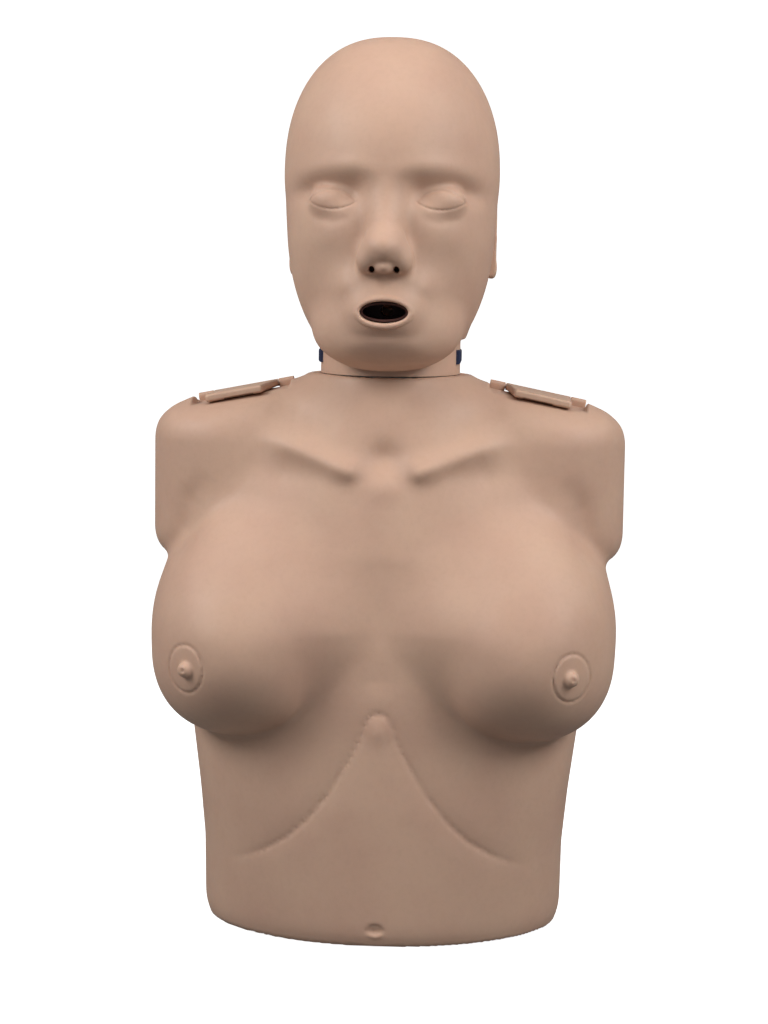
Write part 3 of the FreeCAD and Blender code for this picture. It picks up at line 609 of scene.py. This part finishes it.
def torso_wall(p):
    """The torso as one hollow wall."""
    x, y, z = p
    outer = torso(p) - chest_features(p) + navel(p) - areola(p)
    outer = smin(outer, nipples(p), 1.6)
    yoke_wall = THICK + 1.2 * np.clip((z - 316) / 12, 0, 1)
    d = hollowed(outer, np.maximum(torso(p, WALL + 0.6), -latch_seat(p)), yoke_wall)
    d = smax(d, -latch_recess(p), 1.6)
    opening = np.hypot(x, y - NECK_Y) - NECK_HOLE
    opening = np.maximum(opening, 330 - z)
    d = smax(d, -opening, 0.9)
    return smax(d, z - 407.6, 0.8)


def chest_skin(p):
    """The front of the torso."""
    x, y, z = p
    d = torso_wall(p)
    rebate = np.maximum(np.hypot(x / 126.5, (y - 13) / 87.5) * 100 - 100, z - 5)
    d = smax(d, -rebate, 0.5)
    d = smax(d, 0.5 - z, 0.8)
    return smax(d, y - (PART - BODY_GAP), 0.7)


BACK_SCREWS = [(a * 36.0, 215 + b * 36.0) for a in (-1, 1) for b in (-1, 1)]


def back_shell(p):
    """The back of the torso, with bosses for the guide's screws."""
    x, y, z = p
    d = torso_wall(p)
    outer = torso(p)
    for sx, sz in BACK_SCREWS:
        column = np.hypot(x - sx, z - sz)
        d = smin(d, np.maximum(np.maximum(column - 8, 94 - y), outer), 1.0)
        d = smax(d, -np.maximum(column - SCREW_RAD, 99 - y), 0.8)
    d = smax(d, -z, 0.6)
    return smax(d, (PART + BODY_GAP) - y, 0.7)


def lugs(p):
    """The two pairs of round-topped lugs that hold the latches' pins."""
    u, v, w = lean_frame(p)
    eye = np.minimum(np.hypot(v - 44, w - 2.8) - 2.9, np.maximum(np.abs(v - 44) - 2.9, w - 2.8))
    return smax(smax(np.abs(np.abs(u) - 30.8) - 5.9, eye, 0.6), -3.0 - w, 0.6)


# ---------------------------------------------------------------- materials
def new_material(name):
    """A node material, with its tree and its shader."""
    material = bpy.data.materials.new(name)
    material.use_nodes = True
    tree = material.node_tree
    return material, tree, tree.nodes["Principled BSDF"]


def add(tree, kind, **settings):
    """A node, with its inputs set by name and its own properties by attribute."""
    node = tree.nodes.new(kind)
    for key, value in settings.items():
        if hasattr(node, key):
            setattr(node, key, value)
        else:
            node.inputs[key.replace("_", " ")].default_value = value
    return node


def noise(tree, where, scale, detail=4.0, roughness=0.55):
    """Noise in the object's own space."""
    node = add(tree, "ShaderNodeTexNoise", Scale=scale, Detail=detail, Roughness=roughness)
    tree.links.new(where.outputs["Object"], node.inputs["Vector"])
    return node.outputs["Fac"]


def ramp(tree, source, *stops):
    """A colour ramp over source, from (place, colour) stops."""
    node = tree.nodes.new("ShaderNodeValToRGB")
    band = node.color_ramp
    while len(band.elements) < len(stops):
        band.elements.new(0.5)
    for element, (place, colour) in zip(band.elements, stops):
        element.position = place
        element.color = (*colour, 1)
    tree.links.new(source, node.inputs["Fac"])
    return node.outputs["Color"]


def mixed(tree, amount, a, b, blend="MIX"):
    """Two colours mixed by amount."""
    node = tree.nodes.new("ShaderNodeMix")
    node.data_type = "RGBA"
    node.blend_type = blend
    for socket, source in (("Factor", amount), ("A", a), ("B", b)):
        target = next(i for i in node.inputs
                      if i.name == socket and i.type == ("VALUE" if socket == "Factor" else "RGBA"))
        if isinstance(source, (float, int)):
            target.default_value = source
        elif isinstance(source, tuple):
            target.default_value = (*source, 1)
        else:
            tree.links.new(source, target)
    return next(o for o in node.outputs if o.type == "RGBA")


def mapped(tree, source, a, b, c, d):
    """source taken from the range a to b into c to d."""
    node = add(tree, "ShaderNodeMapRange")
    for i, value in zip((1, 2, 3, 4), (a, b, c, d)):
        node.inputs[i].default_value = value
    tree.links.new(source, node.inputs["Value"])
    return node.outputs["Result"]


def bumped(tree, shader, source, strength, distance, under=None):
    """A bump from source on the shader, over another bump if one is given."""
    node = add(tree, "ShaderNodeBump", Strength=strength, Distance=distance)
    tree.links.new(source, node.inputs["Height"])
    if under is not None:
        tree.links.new(under.outputs["Normal"], node.inputs["Normal"])
    tree.links.new(node.outputs["Normal"], shader.inputs["Normal"])
    return node


def vinyl(name, base, warm, dark, rough=0.52, pores=1.0):
    """Flesh-coloured vinyl: faint mottling, a fine pebbled skin, painted shade in the creases, rubbed
    edges.
    """
    material, tree, shader = new_material(name)
    where = add(tree, "ShaderNodeTexCoord")
    blotch = noise(tree, where, 16.0, 5.0)
    colour = ramp(tree, blotch, (0.34, warm), (0.62, base))
    fleck = noise(tree, where, 210.0, 3.0, 0.7)
    colour = mixed(tree, mapped(tree, fleck, 0.45, 0.75, 0.0, 0.08), colour, dark)
    # painted shade: the colour is darkened towards the dark tone where ambient occlusion finds creases and
    # hollows
    crease = add(tree, "ShaderNodeAmbientOcclusion", samples=6, Distance=0.006)
    painted_crease_shade = mapped(tree, crease.outputs["AO"], 0.25, 0.85, 0.42, 0.0)
    colour = mixed(tree, painted_crease_shade, colour, dark)
    point = add(tree, "ShaderNodeNewGeometry").outputs["Pointiness"]
    rubbed = tuple(min(1, 1.25 * c) for c in base)
    colour = mixed(tree, mapped(tree, point, 0.52, 0.60, 0.0, 0.22), colour, rubbed)
    tree.links.new(colour, shader.inputs["Base Color"])
    sheen = noise(tree, where, 45.0, 3.0)
    tree.links.new(mapped(tree, sheen, 0.3, 0.7, rough - 0.05, rough + 0.07), shader.inputs["Roughness"])
    shader.inputs["Specular IOR Level"].default_value = 0.34
    shader.inputs["Subsurface Weight"].default_value = 0.12
    shader.inputs["Subsurface Radius"].default_value = (0.004, 0.002, 0.001)
    shader.inputs["Subsurface Scale"].default_value = 1.0
    skin = add(tree, "ShaderNodeTexVoronoi", Scale=820.0)
    tree.links.new(where.outputs["Object"], skin.inputs["Vector"])
    wave = bumped(tree, shader, noise(tree, where, 60.0, 3.0), 0.10, 0.0008)
    bumped(tree, shader, skin.outputs["Distance"], 0.07 * pores, 0.0003, wave)
    return material


def moulded_plastic(name, base, tint, rough, grain=0.18, scale=900.0):
    """Injection-moulded plastic: spark-eroded grain, slight flow mottling, scuffs and paler corners."""
    material, tree, shader = new_material(name)
    where = add(tree, "ShaderNodeTexCoord")
    flow = noise(tree, where, 22.0, 4.0)
    colour = ramp(tree, flow, (0.35, base), (0.68, tint))
    scuff = add(tree, "ShaderNodeTexNoise", Scale=38.0, Detail=8.0, Roughness=0.75)
    stretch = add(tree, "ShaderNodeMapping")
    stretch.inputs["Scale"].default_value = (1.0, 6.0, 1.4)
    tree.links.new(where.outputs["Object"], stretch.inputs["Vector"])
    tree.links.new(stretch.outputs["Vector"], scuff.inputs["Vector"])
    pale = tuple(min(1, c * 1.25 + 0.02) for c in base)
    colour = mixed(tree, mapped(tree, scuff.outputs["Fac"], 0.60, 0.78, 0.0, 0.35), colour, pale)
    point = add(tree, "ShaderNodeNewGeometry").outputs["Pointiness"]
    colour = mixed(tree, mapped(tree, point, 0.53, 0.62, 0.0, 0.4), colour, pale)
    tree.links.new(colour, shader.inputs["Base Color"])
    tree.links.new(mapped(tree, scuff.outputs["Fac"], 0.4, 0.8, rough - 0.06, rough + 0.12),
                   shader.inputs["Roughness"])
    bumped(tree, shader, noise(tree, where, scale, 2.0), grain, 0.0003)
    return material


def plated_steel(name):
    """Zinc-plated steel: drawn lines, cloudy plating and a little tarnish."""
    material, tree, shader = new_material(name)
    where = add(tree, "ShaderNodeTexCoord")
    cloud = noise(tree, where, 90.0, 5.0)
    colour = ramp(tree, cloud, (0.3, (0.46, 0.46, 0.47)), (0.7, (0.66, 0.66, 0.65)))
    tree.links.new(colour, shader.inputs["Base Color"])
    shader.inputs["Metallic"].default_value = 1.0
    stretch = add(tree, "ShaderNodeMapping")
    stretch.inputs["Scale"].default_value = (40.0, 2.0, 40.0)
    tree.links.new(where.outputs["Object"], stretch.inputs["Vector"])
    line = add(tree, "ShaderNodeTexNoise", Scale=30.0, Detail=2.0)
    tree.links.new(stretch.outputs["Vector"], line.inputs["Vector"])
    tree.links.new(mapped(tree, line.outputs["Fac"], 0.3, 0.7, 0.26, 0.42), shader.inputs["Roughness"])
    bumped(tree, shader, line.outputs["Fac"], 0.12, 0.0002)
    return material


def bag_film(name):
    """Thin milky film with creases and a cloudy bloom."""
    material, tree, shader = new_material(name)
    where = add(tree, "ShaderNodeTexCoord")
    cloud = noise(tree, where, 34.0, 6.0)
    colour = ramp(tree, cloud, (0.3, (0.66, 0.72, 0.76)), (0.72, (0.86, 0.89, 0.90)))
    tree.links.new(colour, shader.inputs["Base Color"])
    tree.links.new(mapped(tree, cloud, 0.3, 0.7, 0.18, 0.34), shader.inputs["Roughness"])
    shader.inputs["Transmission Weight"].default_value = 0.22
    wrinkle = add(tree, "ShaderNodeTexNoise", Scale=70.0, Detail=6.0, Roughness=0.6, Distortion=1.4)
    tree.links.new(where.outputs["Object"], wrinkle.inputs["Vector"])
    bumped(tree, shader, wrinkle.outputs["Fac"], 0.5, 0.0012)
    return material


def open_foam(name):
    """Grey open-cell foam."""
    material, tree, shader = new_material(name)
    where = add(tree, "ShaderNodeTexCoord")
    cell = add(tree, "ShaderNodeTexVoronoi", Scale=620.0)
    tree.links.new(where.outputs["Object"], cell.inputs["Vector"])
    colour = ramp(tree, cell.outputs["Distance"], (0.1, (0.045, 0.047, 0.05)), (0.6, (0.17, 0.175, 0.185)))
    tree.links.new(colour, shader.inputs["Base Color"])
    tree.links.new(mapped(tree, noise(tree, where, 60.0), 0.3, 0.7, 0.86, 0.98), shader.inputs["Roughness"])
    bumped(tree, shader, cell.outputs["Distance"], 0.7, 0.0008)
    return material


SKIN_BASE, SKIN_WARM, SKIN_DARK = (0.650, 0.430, 0.315), (0.605, 0.385, 0.285), (0.330, 0.185, 0.125)
SKIN = vinyl("skin_vinyl", SKIN_BASE, SKIN_WARM, SKIN_DARK)
HARD_SKIN = vinyl("hard_skin_plastic", (0.670, 0.455, 0.335), (0.625, 0.410, 0.300), SKIN_DARK, 0.46, 0.7)
MOUTH = vinyl("mouth_vinyl", (0.115, 0.050, 0.042), (0.085, 0.036, 0.032), (0.03, 0.014, 0.012), 0.5)
WORKS = moulded_plastic("works_plastic", (0.56, 0.56, 0.53), (0.61, 0.61, 0.585), 0.48)
PLATE = moulded_plastic("plate_plastic", (0.40, 0.41, 0.42), (0.46, 0.47, 0.48), 0.44)
PIVOT = moulded_plastic("pivot_plastic", (0.012, 0.020, 0.065), (0.018, 0.030, 0.085), 0.40, 0.1)
STEEL = plated_steel("plated_steel")
FILM = bag_film("bag_film")
FOAM = open_foam("open_foam")


# ---------------------------------------------------------------- the moulded forms
def build_chest():
    """The front of the torso, meshed finer at the nipples and the navel."""
    a, b = low("torso_skin"), high("torso_skin")
    xs = ticks(a[0] - 4, b[0] + 4, 2.5, 1.3, both_sides((118, 154)))
    ys = ticks(a[1] - 6, PART + 3, 2.4, 1.5, ((-84, -62),))
    zs = ticks(-2, b[2] + 5, 2.5, 1.3, ((4, 21), (182, 224)))
    moulded("chest_skin", chest_skin, xs, ys, zs, "skin", "vinyl", SKIN, "torso_skin")


def build_rear_body():
    """The back of the torso."""
    a, b = low("back_shell"), high("back_shell")
    xs = ticks(a[0] - 4, b[0] + 4, 2.5)
    ys = ticks(PART - 3, b[1] + 5, 2.4)
    zs = ticks(-3, b[2] + 5, 2.5)
    moulded("rear_body", back_shell, xs, ys, zs, "base", "vinyl", SKIN, "back_shell")


def build_lugs():
    """The latches' lugs, one pair for each shoulder."""
    a, b = low("latch_pin_left"), high("latch_pin_left")
    ys = ticks(a[1] - 2, b[1] + 2, 0.6)
    zs = ticks(a[2] - 6, b[2] + 3, 0.6)
    for name, side in (("lugs_left", 1), ("lugs_right", -1)):
        xs = np.sort(side * ticks(a[0] - 4, b[0] + 4, 0.6))
        moulded(name, lugs, xs, ys, zs, "base", "vinyl", SKIN)


def build_face():
    """The front of the head, meshed finer over the features."""
    a, b = low("face_shell"), high("face_shell")
    xs = ticks(a[0] - 4, b[0] + 4, 2.4, 1.05, ((-60, 60),))
    ys = ticks(a[1] - 8, HEAD_PART + 3, 2.4, 1.1, ((-112, -60),))
    zs = ticks(a[2] - 4, b[2] + 4, 2.4, 1.05, ((424, 553),))
    moulded("face", face_shell, xs, ys, zs, "head", "vinyl", SKIN, "face_shell")


def build_rear_head():
    """The rear of the head, meshed finer at the ears and the screw wells."""
    a, b = low("head_back_shell"), high("head_back_shell")
    xs = ticks(a[0] - 5, b[0] + 5, 2.2, 1.3, both_sides((48, 60), (66, 84)))
    ys = ticks(HEAD_PART - 3, b[1] + 5, 2.2, 1.4, ((26, 56), (68, 78)))
    zs = ticks(a[2] - 4, b[2] + 4, 2.2, 1.5, ((476, 548),))
    moulded("rear_head", rear_shell, xs, ys, zs, "head", "vinyl", SKIN, "head_back_shell")


def build_bag():
    """The lung bag: two films welded round the rim, puffed and crumpled between."""
    a, b = low("lung_bag"), high("lung_bag")
    middle, half = (a + b) / 2, (b - a) / 2
    count = 90
    verts, faces = [], []
    for layer in (-1, 1):
        for j in range(count + 1):
            for i in range(count + 1):
                u, v = 2 * i / count - 1, 2 * j / count - 1
                edge = max(abs(u), abs(v))
                puff = (1 - min(1, (max(0, edge - 0.02) / 0.90)) ** 5) ** 0.7 if edge < 0.92 else 0.0
                fold = 0.10 * math.sin(9 * u + 3.5 * math.sin(4 * v)) + 0.08 * math.sin(13 * v - 4 * u)
                fold += 0.07 * math.sin(34 * math.atan2(v, u)) * min(1, edge * 1.2)
                depth = (0.04 + 0.9 * puff * (0.86 + fold)) * half[1]
                corner = 1 - 0.035 * (u * v) ** 2
                verts.append((middle[0] + u * half[0] * corner, middle[1] + layer * min(depth, half[1]),
                              middle[2] + v * half[2] * corner))
    row = count + 1
    size = row * row
    for layer in range(2):
        for j in range(count):
            for i in range(count):
                a0 = layer * size + j * row + i
                quad = (a0, a0 + 1, a0 + row + 1, a0 + row)
                faces.append(quad if layer == 0 else quad[::-1])
    ring = ([(i, 0) for i in range(count)] + [(count, j) for j in range(count)]
            + [(count - i, count) for i in range(count)] + [(0, count - j) for j in range(count)])
    for (i0, j0), (i1, j1) in zip(ring, ring[1:] + ring[:1]):
        p0, p1 = j0 * row + i0, j1 * row + i1
        faces.append((p1, p0, p0 + size, p1 + size))
    bag = mesh_piece("lung_bag_film", verts, faces)
    bag.data.materials.append(FILM)
    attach(bag, "chest")
    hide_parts("lung_bag")


def build_pad():
    """The foam pad: a block with soft edges, its front following the inside of the skin."""
    a, b = low("chest_pad"), high("chest_pad")

    def pad(p):
        x, y, z = p
        side = np.hypot(np.maximum(np.abs(x) - (b[0] - 6), 0),
                        np.maximum(np.abs(z - (a[2] + b[2]) / 2) - ((b[2] - a[2]) / 2 - 6), 0)) - 6
        d = smax(side, y - b[1], 3.0)
        d = smax(d, torso(p, WALL + 0.8), 2.0)
        quilt = 0.5 * np.cos(x * 0.42) * np.cos(z * 0.42)
        return d + quilt * np.clip((y - b[1] + 3) / 3, 0, 1)

    xs, ys, zs = (ticks(a[n] - 3, b[n] + 3, 1.3) for n in range(3))
    block = moulded("foam_pad", pad, xs, ys, zs, "skin", "foam", FOAM, "chest_pad")


SPRING_TURNS = 9
SPRING_WIRE = 2.0


def build_spring():
    """The coil spring, at the CAD spring's length; the real one shortens as the plunger is pushed in."""
    a, b = low("compression_spring"), high("compression_spring")
    radius = (b[0] - a[0]) / 2 - SPRING_WIRE
    middle_z = (a[2] + b[2]) / 2
    length = b[1] - a[1]
    rise = length - 2 * SPRING_WIRE
    steps, sides = SPRING_TURNS * 40, 12
    verts, faces = [], []
    for i in range(steps + 1):
        turn = 2 * math.pi * SPRING_TURNS * i / steps
        for j in range(sides):
            round_wire = 2 * math.pi * j / sides
            out = radius + SPRING_WIRE * math.cos(round_wire)
            along = a[1] + SPRING_WIRE + rise * i / steps + SPRING_WIRE * math.sin(round_wire)
            verts.append((out * math.cos(turn), along, middle_z - out * math.sin(turn)))
    for i in range(steps):
        for j in range(sides):
            here, beside = i * sides + j, i * sides + (j + 1) % sides
            faces.append((here, here + sides, beside + sides, beside))
    faces.append(tuple(range(sides)))
    faces.append(tuple(range(steps * sides + sides - 1, steps * sides - 1, -1)))
    coil = mesh_piece("spring_coil", verts, faces)
    coil.data.materials.append(STEEL)
    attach(coil, "base")
    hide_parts("compression_spring")
    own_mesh(coil)


def finish_works():
    """Materials for the CAD parts that stay."""
    looks = {"works_plastic": WORKS, "plate_plastic": PLATE, "pivot_plastic": PIVOT, "steel": STEEL,
             "vinyl": SKIN, "vinyl_hard": HARD_SKIN, "mouth_vinyl": MOUTH}
    slots = {row["node"]: row["material_slot"] for row in frame["record"]["subparts"]}
    for name, node in frame["nodes"].items():
        material = looks.get(slots.get(name))
        if material is None:
            continue
        node.data.materials.clear()
        node.data.materials.append(material)


# ---------------------------------------------------------------- camera, stage and lights
CAMERA_SIDE = math.radians(3.0)
CAMERA_DISTANCE = 1.7
CAMERA_HEIGHT = 0.505
CAMERA_DOWN = math.radians(6.666)
CAMERA_ROLL = math.radians(0.847)
CAMERA_LENS = 81.6
CAMERA_AIM_X = -0.0022


def build_camera():
    """The camera, from the front and a little to the manikin's left."""
    place = Vector((CAMERA_DISTANCE * math.sin(CAMERA_SIDE), -CAMERA_DISTANCE * math.cos(CAMERA_SIDE),
                    CAMERA_HEIGHT))
    ahead = (Vector((CAMERA_AIM_X, 0, CAMERA_HEIGHT)) - place).normalized()
    look = ahead * math.cos(CAMERA_DOWN) - Vector((0, 0, 1)) * math.sin(CAMERA_DOWN)
    right = look.cross(Vector((0, 0, 1))).normalized()
    up = right.cross(look)
    across = right * math.cos(CAMERA_ROLL) + up * math.sin(CAMERA_ROLL)
    above = up * math.cos(CAMERA_ROLL) - right * math.sin(CAMERA_ROLL)
    data = bpy.data.cameras.new("camera")
    data.lens = CAMERA_LENS
    data.sensor_width = 36.0
    data.clip_start = 0.05
    camera = bpy.data.objects.new("camera", data)
    turn = Matrix((across, above, -look)).transposed()
    camera.matrix_world = Matrix.Translation(place) @ turn.to_4x4()
    bpy.context.collection.objects.link(camera)
    bpy.context.scene.camera = camera


def build_stage():
    """A pale floor that sweeps up into a pale wall behind."""
    mesh = bpy.data.meshes.new("sweep")
    form = bmesh.new()
    outline = [(-6.0, 0.0)] + [(2.2 + 1.6 * math.sin(t), 1.6 - 1.6 * math.cos(t))
                               for t in np.linspace(0, math.pi / 2, 24)] + [(3.8, 6.0)]
    rows = [[form.verts.new((x, y, z - 0.0002)) for y, z in outline] for x in (-6, 6)]
    for i in range(len(outline) - 1):
        form.faces.new((rows[0][i], rows[1][i], rows[1][i + 1], rows[0][i + 1]))
    form.to_mesh(mesh)
    form.free()
    mesh.polygons.foreach_set("use_smooth", np.ones(len(mesh.polygons), bool))
    sweep = bpy.data.objects.new("sweep", mesh)
    bpy.context.collection.objects.link(sweep)
    material, tree, shader = new_material("sweep_paper")
    where = add(tree, "ShaderNodeTexCoord")
    colour = ramp(tree, noise(tree, where, 2.0), (0.3, (0.93, 0.93, 0.93)), (0.7, (0.95, 0.95, 0.95)))
    tree.links.new(colour, shader.inputs["Base Color"])
    shader.inputs["Roughness"].default_value = 0.9
    shader.inputs["Specular IOR Level"].default_value = 0.1
    tree.links.new(colour, shader.inputs["Emission Color"])
    shader.inputs["Emission Strength"].default_value = 0.92
    sweep.data.materials.append(material)
    sweep.visible_diffuse = False
    sweep.visible_glossy = False


def area_light(name, place, aim, size, power, colour=(1, 1, 1)):
    """A soft square light that points at aim."""
    data = bpy.data.lights.new(name, "AREA")
    data.shape = "RECTANGLE"
    data.size, data.size_y = size
    data.energy = power
    data.color = colour
    light = bpy.data.objects.new(name, data)
    light.location = place
    light.rotation_euler = (Vector(aim) - Vector(place)).to_track_quat("-Z", "Y").to_euler()
    bpy.context.collection.objects.link(light)


def build_lights():
    """Two broad lights overhead, a strong and a weak one on each side, and a dim sky."""
    area_light("overhead", (0.0, -0.35, 1.4), (0, -0.02, 0.3), (1.3, 0.5), 2.4, (1.0, 0.985, 0.97))
    area_light("far_overhead", (0.05, -0.55, 2.6), (0, -0.02, 0.3), (2.2, 0.8), 3.5, (1.0, 0.985, 0.97))
    for side in (-1, 1):
        area_light("side", (side * 1.45, -0.75, 1.45), (0, 0, 0.38), (0.6, 0.8), 17.0, (1.0, 0.99, 0.98))
        area_light("head_side", (side * 0.9, -0.9, 1.0), (0, 0, 0.5), (0.5, 0.5), 2.5, (1.0, 0.99, 0.98))
    world = bpy.data.worlds.new("sky")
    world.use_nodes = True
    world.node_tree.nodes["Background"].inputs["Color"].default_value = (1, 1, 1, 1)
    world.node_tree.nodes["Background"].inputs["Strength"].default_value = 0.17
    bpy.context.scene.world = world
    bpy.context.scene.view_settings.view_transform = "Standard"


build_camera()
build_chest()
build_rear_body()
build_lugs()
build_face()
build_rear_head()
build_bag()
build_pad()
build_spring()
finish_works()
build_stage()
build_lights()

bpy.context.view_layer.update()
